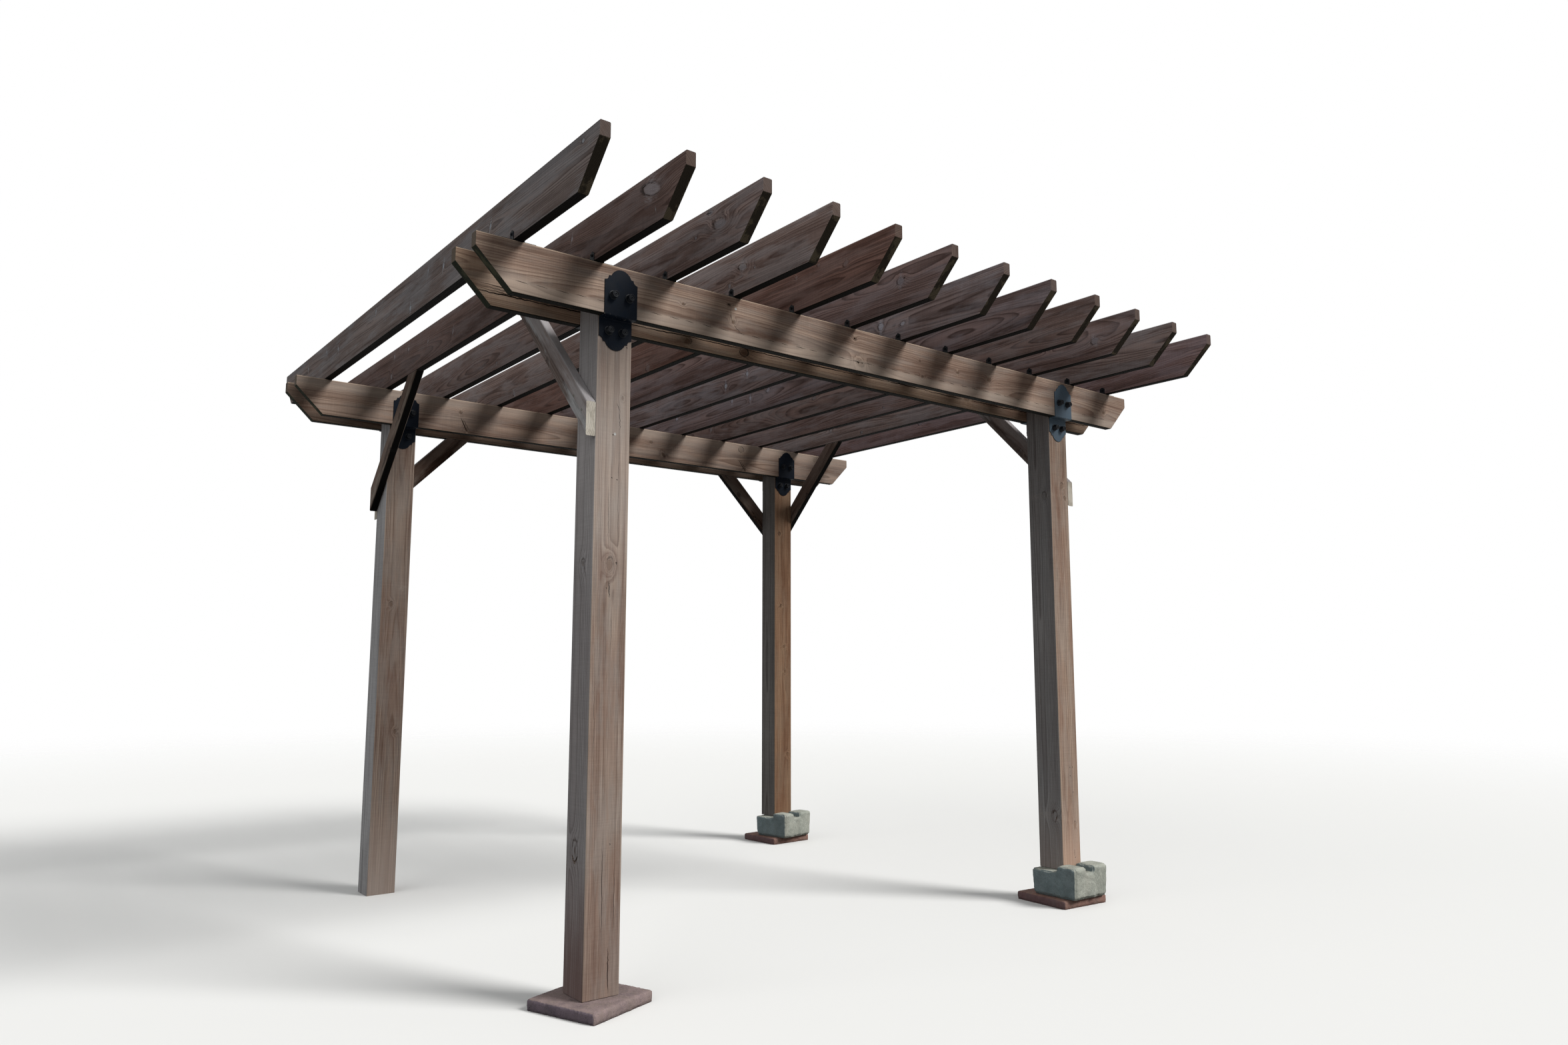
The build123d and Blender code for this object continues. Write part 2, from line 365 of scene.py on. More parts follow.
finishTable = {  # colours and grain of beams, rafters and posts
    "early": (rgb(162, 140, 124), rgb(130, 110, 102), rgb(154, 137, 124)),
    "late": (rgb(117, 96, 83), rgb(70, 54, 48), rgb(114, 96, 85)), "ringWidth": (0.005, 0.0054, 0.0052),
    "wander": (0.06, 0.11, 0.03), "ringDepth": (0.95, 0.95, 0.9),
    "band": (rgb(104, 78, 66), rgb(76, 57, 50), rgb(120, 96, 84)), "banding": (0.52, 0.55, 0.58),
    "streak": (rgb(88, 67, 57), rgb(58, 42, 36), rgb(102, 79, 69)), "streaking": (0.6, 0.75, 0.6),
    "fibreDepth": (0.24, 0.28, 0.26), "grey": (rgb(136, 126, 118), rgb(133, 124, 122), rgb(142, 134, 127)),
    "greying": (0.45, 0.52, 0.45), "silver": (rgb(176, 158, 143), rgb(146, 134, 130), rgb(178, 165, 154)),
    "silvering": (0.35, 0.4, 0.35), "sawDepth": (0.05, 0.06, 0.05),
    "knot": (rgb(74, 52, 38), rgb(108, 104, 105), rgb(102, 82, 70)),
    "rim": (rgb(32, 22, 17), rgb(22, 17, 15), rgb(46, 34, 27)),
    "tornGrain": (rgb(176, 157, 137), rgb(160, 158, 160), rgb(178, 169, 158)), "lip": (0.8, 0.5, 0.2),
    "arris": (0.006, 0.005, 0.006), "wornArris": (rgb(174, 151, 132), rgb(136, 122, 117), rgb(168, 151, 136)),
    "shadeSide": (rgb(112, 105, 100), rgb(104, 97, 95), rgb(143, 142, 144)), "shading": (0.5, 0.12, 0.75),
    "underside": (rgb(13, 12, 9), rgb(6, 5, 4), rgb(64, 55, 48)),
    "plumbEnd": (rgb(88, 80, 70), rgb(86, 73, 66), rgb(110, 95, 82)),
    "slopedEnd": (rgb(44, 47, 38), rgb(56, 50, 42), rgb(84, 76, 66)),
    "slopedEndPale": (rgb(76, 76, 60), rgb(98, 88, 72), rgb(84, 76, 66)),
}
beamFinish, rafterFinish, postFinish = (
    {label: row[column] for label, row in finishTable.items()} for column in range(3))
postFinish.update(foot=rgb(98, 74, 68), frontFoot=0.22, shadeFoot=0.75)
braceFinish = dict(
    rafterFinish, early=rgb(128, 114, 106), late=rgb(84, 68, 61), ringWidth=0.0042, wander=0.02,
    band=rgb(72, 55, 47), banding=0.7, streak=rgb(52, 38, 32), streaking=0.9, grey=rgb(158, 154, 152),
    greying=0.9, knot=rgb(62, 46, 38), shadeSide=rgb(118, 115, 115), slopedEnd=rgb(178, 170, 156),
    slopedEndPale=rgb(196, 188, 174))
tonesWithPaintedLight = {  # some timbers are browner, paler or darker than their kind; the paler inner front beam is painted sunlight, the darker outer back beam painted shade, and the bluish cast of most rafter tones a painted sky sheen
    "post_back_right": (0.79, 0.62, 0.47), "post_back_left": (0.95, 0.93, 0.92),
    "post_front_right": (1.1, 1.04, 0.98),
    "beam_back_inner": (0.84, 0.83, 0.83), "beam_back_outer": (0.66, 0.64, 0.62),
    "beam_front_inner": (1.15, 1.12, 1.04), "side_brace_front_left": (1.16, 1.22, 1.26),
    "side_brace_back_left": (0.66, 0.56, 0.47), "side_brace_back_right": (0.56, 0.46, 0.39),
    "back_brace_left": (0.6, 0.5, 0.43), "back_brace_right": (0.5, 0.42, 0.36),
    "rafter_01": (0.93, 1.07, 1.15), "rafter_02": (0.89, 0.83, 0.83), "rafter_03": (1.26, 1.31, 1.37),
    "rafter_04": (1.48, 1.55, 1.6), "rafter_05": (1.09, 0.86, 0.79), "rafter_06": (1.16, 1.13, 1.21),
    "rafter_07": (1.33, 1.43, 1.58), "rafter_08": (1.1, 1.12, 1.24), "rafter_09": (1.06, 1.02, 1.04),
    "rafter_10": (1.18, 1.15, 1.21), "rafter_11": (1.26, 1.34, 1.42), "rafter_12": (1.23, 1.13, 1.25),
}
paleKnots = {"knot": rgb(148, 144, 146)}
ownFinish = {  # timbers with something of their own
    "post_back_right": {"shadeSide": rgb(107, 109, 109), "shading": 0.8, "frontFoot": 0.0, "shadeFoot": 0.0},
    "post_back_left": {"shadeSide": rgb(160, 161, 163), "shading": 0.8, "foot": rgb(172, 158, 148),
                       "frontFoot": 0.5, "shadeFoot": 0.0},
    "post_front_right": {"shadeSide": rgb(117, 121, 124), "foot": rgb(190, 158, 138), "frontFoot": 0.55,
                         "shadeFoot": 0.15},
    "post_front_left": {"strip": (0, 0.05, 0.42, 0.2, rgb(196, 184, 176))},
    # the paler lower part of the outer front beam is painted light
    "beam_front_outer": {"strip": (1, -0.036, -0.052, 0.42, rgb(180, 165, 151))},
    # the paler top of the inner back beam is painted light
    "beam_back_inner": {"strip": (1, 0.01, 0.07, 0.3, rgb(205, 190, 175))},
    "rafter_01": paleKnots, "rafter_02": paleKnots, "rafter_07": paleKnots, "rafter_08": paleKnots,
    "rafter_09": {"wander": 0.24, "ringWidth": 0.0045, "grey": rgb(138, 130, 128)},
}
timberSize = {"braceWidth": 0.089, "arris": 0.0012}


def timberFrame(node, kind):
    low, high = boxes[node]
    size = high - low
    if kind == "beam":
        along, across = Vector((1, 0, 0)), Vector((0, 0, 1))
    elif kind == "rafter":
        along, across = Vector((0, 1, 0)), Vector((0, 0, 1))
    elif kind == "post":
        along, across = Vector((0, 0, 1)), Vector((1, 0, 0))
    else:
        slant = math.sqrt(0.5)
        towards = slant if ("front" if "side" in node else "left") in node else -slant
        along, across = (Vector((0, lean, slant)) if "side" in node else Vector((lean, 0, slant))
                         for lean in (towards, -towards))
    through = along.cross(across)
    width = timberSize["braceWidth"] if kind == "brace" else size.dot(across)
    chance = random.Random(node)
    seed = Vector([chance.uniform(-40, 40) for _ in range(3)])
    if kind == "post":
        pith = Vector((0, chance.uniform(-0.03, 0.03), chance.uniform(-0.03, 0.03)))
    else:
        pith = Vector((0, chance.uniform(-0.05, 0.05), chance.choice((-1, 1)) * chance.uniform(0.05, 0.11)))
    return {
        "centre": (low + high) / 2, "size": size, "along": along, "across": across, "through": through,
        "halfWidth": width / 2, "halfDepth": abs(size.dot(through)) / 2, "seed": seed, "pith": pith,
        "tone": tonesWithPaintedLight.get(node, (1, 1, 1)) + (1,),
    }


def placeCutter(cutter, place, along, inward, shape=None):
    # local x follows the grain or the split, local z points out of the face
    if shape:
        cutter.data.transform(Matrix.Diagonal((*shape, 1)))
    side = along.cross(inward)
    cutter.data.transform(Matrix.Translation(place) @ Matrix((along, side, -inward)).transposed().to_4x4())
    return cutter


def splitCutter(start, end, inward, width, depth, wander, chance, steps=18):
    # a wedge, open at the face, that sways to and fro and runs out to nothing at both ends
    deselectAll()
    bpy.ops.mesh.primitive_grid_add(x_subdivisions=steps, y_subdivisions=1, size=1)
    cutter = bpy.context.object
    bpy.ops.object.mode_set(mode="EDIT")
    bpy.ops.mesh.select_all(action="SELECT")
    bpy.ops.mesh.extrude_region_move(TRANSFORM_OT_translate={"value": (0, 0, -1)})
    bpy.ops.mesh.select_all(action="SELECT")
    bpy.ops.mesh.normals_make_consistent(inside=False)
    bpy.ops.object.mode_set(mode="OBJECT")
    length = (end - start).length
    sway = [0.0] + [chance.uniform(-1, 1) * wander for _ in range(steps - 1)] + [0.0]
    for vertex in cutter.data.vertices:
        part = vertex.co.x + 0.5
        taper = max(0.04, math.sin(math.pi * min(1, max(0, part)))) ** 0.6
        deep = vertex.co.z < -0.5
        half = width / 2 * taper * (0.12 if deep else 1.0)
        vertex.co = Vector((part * length, sway[round(part * steps)] + math.copysign(half, vertex.co.y),
                            -depth * taper if deep else 0.0015))
    return placeCutter(cutter, start, (end - start).normalized(), inward)


def pitCutter(place, along, inward, radius, long):
    deselectAll()
    bpy.ops.mesh.primitive_ico_sphere_add(subdivisions=2, radius=radius)
    return placeCutter(bpy.context.object, place, along, inward, (long, 1, 1))


def ringCutter(place, along, inward, radius, thickness):
    deselectAll()
    bpy.ops.mesh.primitive_torus_add(major_segments=28, minor_segments=6, major_radius=radius,
                                     minor_radius=thickness)
    return placeCutter(bpy.context.object, place, along, inward, (1.15, 0.9, 1))


def cutAway(piece, cutters):
    cutter = joined(cutters, "cutter")
    applyModifier(piece, "BOOLEAN", operation="DIFFERENCE", solver="EXACT", use_self=True, object=cutter)
    bpy.data.objects.remove(cutter, do_unlink=True)


def onFace(node, place):
    # a place on the face that shows, which is a rafter's left one and any other's front one,
    # unless the word left comes first
    low = boxes[node][0]
    if place[0] == "left" or node.startswith("rafter_"):
        return Vector((low.x, *place[-2:]))
    return Vector((place[0], low.y, place[1]))


# knots: place on the face, radius, length against width, lean, how far the rings bend, pale torn grain
knotsSeen = {
    "beam_front_outer": [
        ((-1.016, 2.493), 0.006, 1.3, 0.0, 0.006, 0.1), ((-0.805, 2.535), 0.007, 1.1, 0.1, 0.008, 0.5),
        ((-0.785, 2.47), 0.009, 1.0, 0.25, 0.016, 0.9), ((-0.145, 2.527), 0.009, 1.1, 0.0, 0.01, 0.3),
        ((-0.117, 2.425), 0.016, 1.5, -0.3, 0.014, 0.6), ((0.248, 2.5), 0.006, 1.2, 0.0, 0.006, 0.2),
        ((0.263, 2.428), 0.007, 1.2, 0.4, 0.007, 0.1), ((0.497, 2.489), 0.007, 1.1, 0.0, 0.008, 0.7),
        ((0.716, 2.492), 0.012, 1.2, 0.2, 0.012, 0.8), ((1.631, 2.467), 0.009, 1.0, 0.2, 0.012, 0.8)],
    "beam_front_inner": [
        ((-0.602, 2.426), 0.02, 1.1, 0.0, 0.02, 0.1), ((0.753, 2.442), 0.014, 1.4, 0.0, 0.012, 0.7),
        ((-1.3, 2.52), 0.009, 1.2, 0.0, 0.008, 0.2), ((1.25, 2.51), 0.01, 1.2, 0.0, 0.008, 0.3)],
    "beam_back_inner": [
        ((-0.99, 2.505), 0.01, 1.0, -0.3, 0.02, 0.9), ((-0.955, 2.415), 0.008, 1.6, -1.0, 0.014, 0.7),
        ((0.214, 2.497), 0.01, 1.3, 0.0, 0.016, 0.6), ((0.307, 2.429), 0.01, 1.6, -0.8, 0.014, 0.5),
        ((0.899, 2.535), 0.02, 1.0, 0.2, 0.018, 0.5), ((0.93, 2.405), 0.007, 1.6, -0.9, 0.01, 0.8),
        ((1.533, 2.54), 0.018, 1.1, 0.3, 0.016, 0.7)],
    "rafter_01": [
        ((-1.726, 2.73), 0.008, 1.3, 0.0, 0.01, 0.1), ((-1.03, 2.69), 0.012, 0.7, 0.35, 0.006, 1.0),
        ((-0.58, 2.68), 0.013, 0.8, 0.3, 0.006, 1.0), ((-0.41, 2.71), 0.01, 0.7, 0.3, 0.005, 0.8),
        ((-0.217, 2.607), 0.012, 1.0, 0.0, 0.008, 0.9), ((0.244, 2.715), 0.011, 0.7, 0.3, 0.006, 0.9),
        ((0.82, 2.68), 0.012, 0.7, -0.3, 0.006, 1.0), ((1.023, 2.71), 0.01, 0.7, -0.3, 0.005, 0.8),
        ((1.366, 2.7), 0.01, 0.7, -0.2, 0.005, 0.9)],
    "rafter_02": [
        ((-1.622, 2.701), 0.022, 3.0, 0.33, 0.018, 0.9), ((-1.65, 2.62), 0.006, 0.7, -0.3, 0.004, 1.0),
        ((-1.057, 2.712), 0.011, 0.8, 0.3, 0.008, 0.9), ((0.11, 2.65), 0.014, 0.7, 0.35, 0.008, 0.8),
        ((0.432, 2.683), 0.01, 0.8, 0.3, 0.006, 0.8), ((0.706, 2.709), 0.011, 1.3, 0.0, 0.012, 0.5),
        ((0.917, 2.719), 0.012, 1.2, 0.2, 0.01, 0.7), ((0.953, 2.62), 0.013, 1.6, 0.8, 0.01, 0.7)],
    "rafter_03": [
        ((-1.58, 2.678), 0.02, 2.2, 0.16, 0.034, 0.1), ((-1.427, 2.674), 0.006, 1.4, 0.3, 0.012, 0.2),
        ((-1.52, 2.738), 0.008, 2.2, 0.1, 0.01, 0.3)],
    "rafter_04": [
        ((-1.297, 2.677), 0.014, 2.2, 0.25, 0.022, 0.4), ((-1.375, 2.653), 0.005, 1.2, 0.0, 0.006, 0.2),
        ((-1.21, 2.625), 0.009, 1.2, 0.4, 0.02, 0.3)],
    "rafter_05": [((-1.394, 2.729), 0.007, 1.6, 0.0, 0.008, 0.1)],
    "rafter_06": [((-1.549, 2.687), 0.015, 1.5, 0.1, 0.016, 0.7), ((-0.9, 2.64), 0.011, 1.2, 0.0, 0.01, 0.3)],
    "rafter_07": [
        ((-1.112, 2.669), 0.017, 1.2, 0.0, 0.012, 0.8), ((0.111, 2.646), 0.014, 1.1, 0.0, 0.012, 0.7),
        ((-0.086, 2.672), 0.012, 1.1, 0.0, 0.01, 0.6)],
    "rafter_08": [((0.298, 2.663), 0.013, 1.1, 0.0, 0.012, 0.9), ((0.48, 2.681), 0.012, 1.1, 0.0, 0.01, 0.9)],
    "post_front_left": [
        ((-1.246, 2.1), 0.004, 1.6, 0.0, 0.03, 0.0), ((-1.283, 1.495), 0.013, 2.0, 0.0, 0.03, 0.0),
        (("left", -1.127, 0.515), 0.02, 1.9, 0.0, 0.014, 0.0),
        (("left", -1.135, 1.49), 0.015, 1.8, 0.0, 0.012, 0.0)],
    "post_front_right": [
        (("left", -1.16, 1.99), 0.013, 1.5, 0.0, 0.018, 0.2), ((1.3, 2.04), 0.012, 1.7, 0.3, 0.022, 0.25),
        ((1.325, 1.98), 0.009, 1.4, -0.4, 0.014, 0.2), (("left", -1.16, 0.41), 0.017, 1.5, 0.2, 0.028, 0.2),
        ((1.315, 0.36), 0.01, 2.1, 0.0, 0.014, 0.5)],
    "post_back_right": [
        ((1.25, 2.009), 0.012, 0.8, 0.0, 0.014, 0.4), ((1.262, 1.523), 0.012, 1.0, 0.3, 0.012, 0.9),
        ((1.29, 1.253), 0.012, 0.7, 0.1, 0.012, 1.0), ((1.3, 1.09), 0.008, 1.3, 0.0, 0.012, 0.2),
        ((1.32, 0.55), 0.009, 1.3, 0.0, 0.012, 0.3)],
    "post_back_left": [
        ((-1.3, 1.45), 0.01, 1.4, 0.0, 0.014, 0.3), ((-1.25, 0.8), 0.008, 1.3, 0.0, 0.01, 0.2)],
}
randomKnots = {  # how many knots a timber has at least, how far from its middle they reach, and their limits
    "post": (4, 1.1), "beam": (5, 1.7), "rafter": (5, 1.7), "brace": (3, 0.22), "radius": (0.006, 0.014),
    "long": (1.2, 1.8), "aside": 0.8, "asideOnPost": 0.05, "apart": 0.12, "lean": 0.5,
    "pushes": (0.006, 0.014), "pale": (0.1, 0.4, 0.8),
}
depthInPost = 1.6  # a knot's depth against its radius


def knotsFor(node, timber, kind):
    knots = []
    turn = Matrix((timber["along"], timber["across"], timber["through"]))
    for place, radius, long, lean, pushes, pale in knotsSeen.get(node, []):
        local = turn @ (onFace(node, place) - timber["centre"])
        size = [radius * long, radius, radius * depthInPost]
        if kind != "post":
            local.z, size[2] = 0, 1.0  # a knot runs through a board from face to face
        elif place[0] == "left":
            size = [radius * long, radius * depthInPost, radius]
        knots.append((local, size, lean, pushes, pale))
    chance = random.Random("knots " + node)
    wanted, reach = randomKnots[kind]
    while len(knots) < wanted:
        radius = chance.uniform(*randomKnots["radius"])
        local = Vector((chance.uniform(-reach, reach), 0, 0))
        local.y = chance.uniform(-randomKnots["aside"], randomKnots["aside"]) * timber["halfWidth"]
        size = [radius * chance.uniform(*randomKnots["long"]), radius, 1.0]
        if kind == "post":
            local.y = chance.uniform(-randomKnots["asideOnPost"], randomKnots["asideOnPost"])
            local.z, size[2] = timber["halfDepth"], radius * depthInPost
        elif min([abs(local.x - knot[0].x) for knot in knots] or [1]) < randomKnots["apart"]:
            continue
        knots.append((local, size, chance.uniform(-randomKnots["lean"], randomKnots["lean"]),
                      chance.uniform(*randomKnots["pushes"]), chance.choice(randomKnots["pale"])))
    return knots


drySplits = {  # how many a timber has, and their limits
    "post": 7, "beam": 6, "rafter": 5, "brace": 2, "shortest": 0.05, "longest": 0.26, "clearOfEnds": 0.16,
    "longestOnBrace": 0.12, "reachOnBrace": 0.2, "aside": 0.8, "asideOnPost": 0.055, "slant": 0.002,
    "wide": (0.0008, 0.002), "deep": (0.003, 0.008), "wander": 0.0012,
}
noseSplits = {
    "share": 0.35, "belowTop": 0.004, "aside": 0.01, "long": (0.02, 0.042), "wide": 0.0014, "deep": 0.03,
    "wander": 0.001,
}


def cuttersFor(node, timber, kind):
    # splits follow the grain, and a few noses of beams and rafters have dried open
    chance = random.Random("splits " + node)
    along, across, through, centre = timber["along"], timber["across"], timber["through"], timber["centre"]
    cutters = []
    reach, longest = timber["size"].dot(along) / 2 - drySplits["clearOfEnds"], drySplits["longest"]
    if kind == "brace":
        reach, longest = drySplits["reachOnBrace"], drySplits["longestOnBrace"]
    for _ in range(drySplits[kind]):
        side = chance.choice((-1, 1))
        length = chance.uniform(drySplits["shortest"], longest)
        start = centre + along * chance.uniform(-reach, reach - length)
        if kind == "post" and chance.random() < 0.5:
            aside = chance.uniform(-drySplits["asideOnPost"], drySplits["asideOnPost"])
            start, inward = start + through * aside + across * side * timber["halfWidth"], across * -side
        else:
            aside = chance.uniform(-drySplits["aside"], drySplits["aside"]) * timber["halfWidth"]
            start, inward = start + across * aside + through * side * timber["halfDepth"], through * -side
        end = start + along * length + across * chance.uniform(-drySplits["slant"], drySplits["slant"])
        cutters.append(splitCutter(start, end, inward, chance.uniform(*drySplits["wide"]),
                                   chance.uniform(*drySplits["deep"]), drySplits["wander"], chance))
    for end in (-1, 1) if kind in ("beam", "rafter") else ():
        if chance.random() < 1 - noseSplits["share"]:
            continue
        top = (centre + along * end * timber["size"].dot(along) / 2
               + across * (timber["halfWidth"] - noseSplits["belowTop"]))
        start = top + through * chance.uniform(-noseSplits["aside"], noseSplits["aside"])
        cutters.append(splitCutter(start, start - across * chance.uniform(*noseSplits["long"]), along * -end,
                                   noseSplits["wide"], noseSplits["deep"], noseSplits["wander"], chance))
    return cutters


# what is torn or open in the faces that show. A split has its two ends, width, depth and wander,
# a pit its place, radius and length against width, and a rim its place, radius and thickness.
tornSeen = {
    "beam_front_outer": [
        ("pit", (-0.807, 2.535), 0.005, 1.3), ("pit", (-0.146, 2.527), 0.0045, 1.0),
        ("pit", (-0.128, 2.425), 0.005, 1.2), ("pit", (-0.104, 2.427), 0.004, 0.8),
        ("split", (-0.8, 2.52), (-0.787, 2.46), 0.002, 0.004, 0.0012),
        ("split", (-0.785, 2.46), (-0.745, 2.43), 0.002, 0.004, 0.0012)],
    "beam_front_inner": [("rim", (-0.602, 2.424), 0.0195, 0.0022)],
    "beam_back_inner": [
        ("split", (-0.986, 2.475), (-0.95, 2.402), 0.006, 0.009, 0.0016),
        ("split", (-0.975, 2.47), (-0.935, 2.41), 0.003, 0.009, 0.0016),
        ("split", (0.883, 2.464), (0.932, 2.4), 0.0055, 0.009, 0.0016),
        ("split", (0.893, 2.466), (0.944, 2.402), 0.003, 0.009, 0.0016),
        ("rim", (0.902, 2.535), 0.02, 0.0016)],
    "post_front_left": [
        ("split", (-1.285, 0.2), (-1.289, 0.56), 0.0022, 0.01, 0.0015),
        ("split", (-1.256, 0.05), (-1.26, 0.2), 0.004, 0.01, 0.0015),
        ("split", (-1.291, 1.55), (-1.295, 1.78), 0.0016, 0.01, 0.0015),
        ("split", (-1.253, 1.98), (-1.257, 2.05), 0.002, 0.01, 0.0015),
        ("split", (-1.253, 1.55), (-1.257, 1.92), 0.0014, 0.01, 0.0015),
        ("split", (-1.33, 0.7), (-1.334, 1.15), 0.0014, 0.01, 0.0015),
        ("split", (-1.282, 1.377), (-1.286, 1.437), 0.0045, 0.01, 0.0015),
        ("split", (-1.269, 2.08), (-1.253, 2.046), 0.002, 0.004, 0.001),
        ("split", ("left", -1.149, 0.501), ("left", -1.127, 0.474), 0.008, 0.012, 0.0008),
        ("split", ("left", -1.105, 0.501), ("left", -1.127, 0.474), 0.008, 0.012, 0.0008),
        ("split", ("left", -1.127, 0.532), ("left", -1.127, 0.503), 0.006, 0.012, 0.0008),
        ("split", ("left", -1.135, 1.512), ("left", -1.135, 1.488), 0.007, 0.012, 0.0008),
        ("pit", ("left", -1.127, 0.478), 0.0065, 1.0), ("pit", (-1.258, 1.5), 0.0032, 1.9),
        ("pit", (-1.282, 1.96), 0.0026, 1.3), ("pit", (-1.283, 1.804), 0.0026, 1.3),
        ("pit", (-1.262, 1.799), 0.0026, 1.3), ("pit", (-1.233, 2.29), 0.0026, 1.3),
        ("pit", (-1.26, 0.537), 0.0026, 1.3), ("pit", (-1.295, 1.41), 0.0026, 1.3)],
    "post_front_right": [
        ("split", ("left", -1.152, 0.415), ("left", -1.16, 0.44), 0.005, 0.008, 0.001),
        ("split", ("left", -1.166, 0.385), ("left", -1.174, 0.412), 0.005, 0.008, 0.001),
        ("split", ("left", -1.16, 0.38), ("left", -1.168, 0.384), 0.005, 0.008, 0.001),
        ("pit", (1.29, 0.64), 0.0026, 1.2), ("pit", (1.31, 0.64), 0.0026, 1.2),
        ("pit", (1.29, 0.6), 0.0026, 1.2), ("pit", (1.31, 0.52), 0.0026, 1.2),
        ("pit", (1.31, 0.21), 0.0026, 1.2), ("split", (1.305, 0.215), (1.305, 0.25), 0.003, 0.005, 0.0005)],
    "post_back_right": [
        ("rim", (1.25, 2.009), 0.011, 0.0016), ("split", (1.25, 1.51), (1.272, 1.54), 0.003, 0.006, 0.001)],
    "rafter_03": [("split", (-1.53, 2.735), (-1.49, 2.742), 0.004, 0.006, 0.001)],
    "rafter_06": [("pit", (-1.57, 2.694), 0.004, 1.4)],
}
slitRow = {
    "count": 44, "first": -1.69, "apart": 0.0762, "astray": 0.006, "height": 2.4315, "clearOfBracket": 0.09,
    "long": (0.038, 0.056), "drop": (0.001, 0.004), "wide": (0.003, 0.0042), "deep": 0.0016, "wander": 0.0005,
}
shake = {  # one long crack in the inner front board, broken at two knots, and short ones near its left end
    "runs": ((-1.74, -0.63, 0.0048), (-0.575, 0.735, 0.0044), (0.79, 1.73, 0.0048)), "parts": 5,
    "overlap": 0.02, "height": 2.436, "astray": 0.004, "widths": (0.8, 1.2), "deep": 0.016, "wander": 0.0017,
    "shortHeights": (2.454, 2.446, 2.466), "shortFrom": -1.76, "shortApart": 0.08, "short": (0.16, 0.3),
    "shortDrop": 0.006, "shortWide": 0.003, "shortDeep": 0.01, "shortWander": 0.0015,
}
looseRim = {
    "place": (-1.622, 2.701), "lean": 0.33, "half": (0.06, 0.021), "overlap": 0.25, "wideAt": (1, 2, 3),
    "wide": 0.0046, "fine": 0.002, "deep": 0.007, "wander": 0.0007,
}


def largeCutters(node, kind):
    chance = random.Random("seen " + node)
    cutters = []

    def inwardFrom(place):
        return Vector((1, 0, 0)) if place[0] == "left" or kind == "rafter" else Vector((0, 1, 0))

    def split(start, end, width, depth, wander):
        cutters.append(splitCutter(onFace(node, start), onFace(node, end), inwardFrom(start), width, depth,
                                   wander, chance))

    if node == "beam_front_outer":  # a row of slits low on the face, 76 mm apart, clear of the brackets
        bracketAt = sum(corner.x for corner in boxes["bracket_front_right_outer"]) / 2
        for step in range(slitRow["count"]):
            astray = chance.uniform(-slitRow["astray"], slitRow["astray"])
            x = slitRow["first"] + step * slitRow["apart"] + astray
            if abs(abs(x) - bracketAt) > slitRow["clearOfBracket"]:
                right = x + chance.uniform(*slitRow["long"])
                end = (right, slitRow["height"] - chance.uniform(*slitRow["drop"]))
                split((x, slitRow["height"]), end, chance.uniform(*slitRow["wide"]), slitRow["deep"],
                      slitRow["wander"])
    if node == "beam_front_inner":
        for begins, ends, wide in shake["runs"]:
            for part in range(shake["parts"]):
                first = begins + (ends - begins) * part / shake["parts"] - shake["overlap"]
                last = begins + (ends - begins) * (part + 1) / shake["parts"] + shake["overlap"]
                heights = [shake["height"] + chance.uniform(-shake["astray"], shake["astray"])
                           for _ in range(2)]
                split((first, heights[0]), (last, heights[1]), wide * chance.uniform(*shake["widths"]),
                      shake["deep"], shake["wander"])
        for height in shake["shortHeights"]:
            start = shake["shortFrom"] + chance.uniform(0, shake["shortApart"])
            split((start, height), (start + chance.uniform(*shake["short"]), height - shake["shortDrop"]),
                  shake["shortWide"], shake["shortDeep"], shake["shortWander"])
    grainAlong = {"post": Vector((0, 0, 1)), "beam": Vector((1, 0, 0)), "rafter": Vector((0, 1, 0))}.get(kind)
    for shape, place, *sizes in tornSeen.get(node, []):
        if shape == "split":
            split(place, *sizes)
        else:
            makeCutter = pitCutter if shape == "pit" else ringCutter
            cutters.append(makeCutter(onFace(node, place), grainAlong, inwardFrom(place), *sizes))
    if node == "rafter_02":  # the loose knot's open rim
        tilt = Matrix.Rotation(looseRim["lean"], 3, "X")
        long, wide = looseRim["half"]
        turns = [math.radians(step) for step in range(70, -171, -30)]
        rim = [onFace(node, looseRim["place"])
               + tilt @ Vector((0, long * math.cos(turn), wide * math.sin(turn))) for turn in turns]
        for number, (first, last) in enumerate(zip(rim, rim[1:])):
            more = (last - first) * looseRim["overlap"]
            split(first - more, last + more, looseRim["wide" if number in looseRim["wideAt"] else "fine"],
                  looseRim["deep"], looseRim["wander"])
    return cutters


timbers = {}
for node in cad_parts:
    for kind in ("post", "beam", "rafter", "brace"):
        if node.startswith(kind + "_") and "ties" not in node or kind == "brace" and "_brace_" in node:
            timbers[node] = kind

finishes = {"post": postFinish, "beam": beamFinish, "rafter": rafterFinish, "brace": braceFinish}
for node, kind in timbers.items():
    timber = timberFrame(node, kind)
    piece = workingCopy(node, node + "_timber")
    bevelEdges(piece, timberSize["arris"], 30)
    cutAway(piece, cuttersFor(node, timber, kind) + largeCutters(node, kind))
    finish = dict(finishes[kind], **ownFinish.get(node, {}))
    material = timberMaterial(node + "_wood", timber, finish, knotsFor(node, timber, kind))
    handOver(piece, node, material, kind + "_timber")
print("timbers worked over:", len(timbers))


castWear = {
    "voxel": 0.0036, "rounding": 42, "blockCorners": 0.008, "paverCorners": 0.002, "arrisReach": 0.0034,
    "unevenness": 0.0007, "pitting": 0.0018, "flatFoot": 0.005,
}


def cloud(name, kind, size, **values):
    texture = bpy.data.textures.new(name, kind)
    texture.noise_scale = size
    for key, value in values.items():
        setattr(texture, key, value)
    return texture


coarseCloud = cloud("cornerWear", "CLOUDS", 0.035, noise_depth=3)
fineCloud = cloud("castUnevenness", "CLOUDS", 0.012, noise_depth=2)
pitCloud = cloud("castPits", "STUCCI", 0.007, stucci_type="WALL_IN", turbulence=3.0)


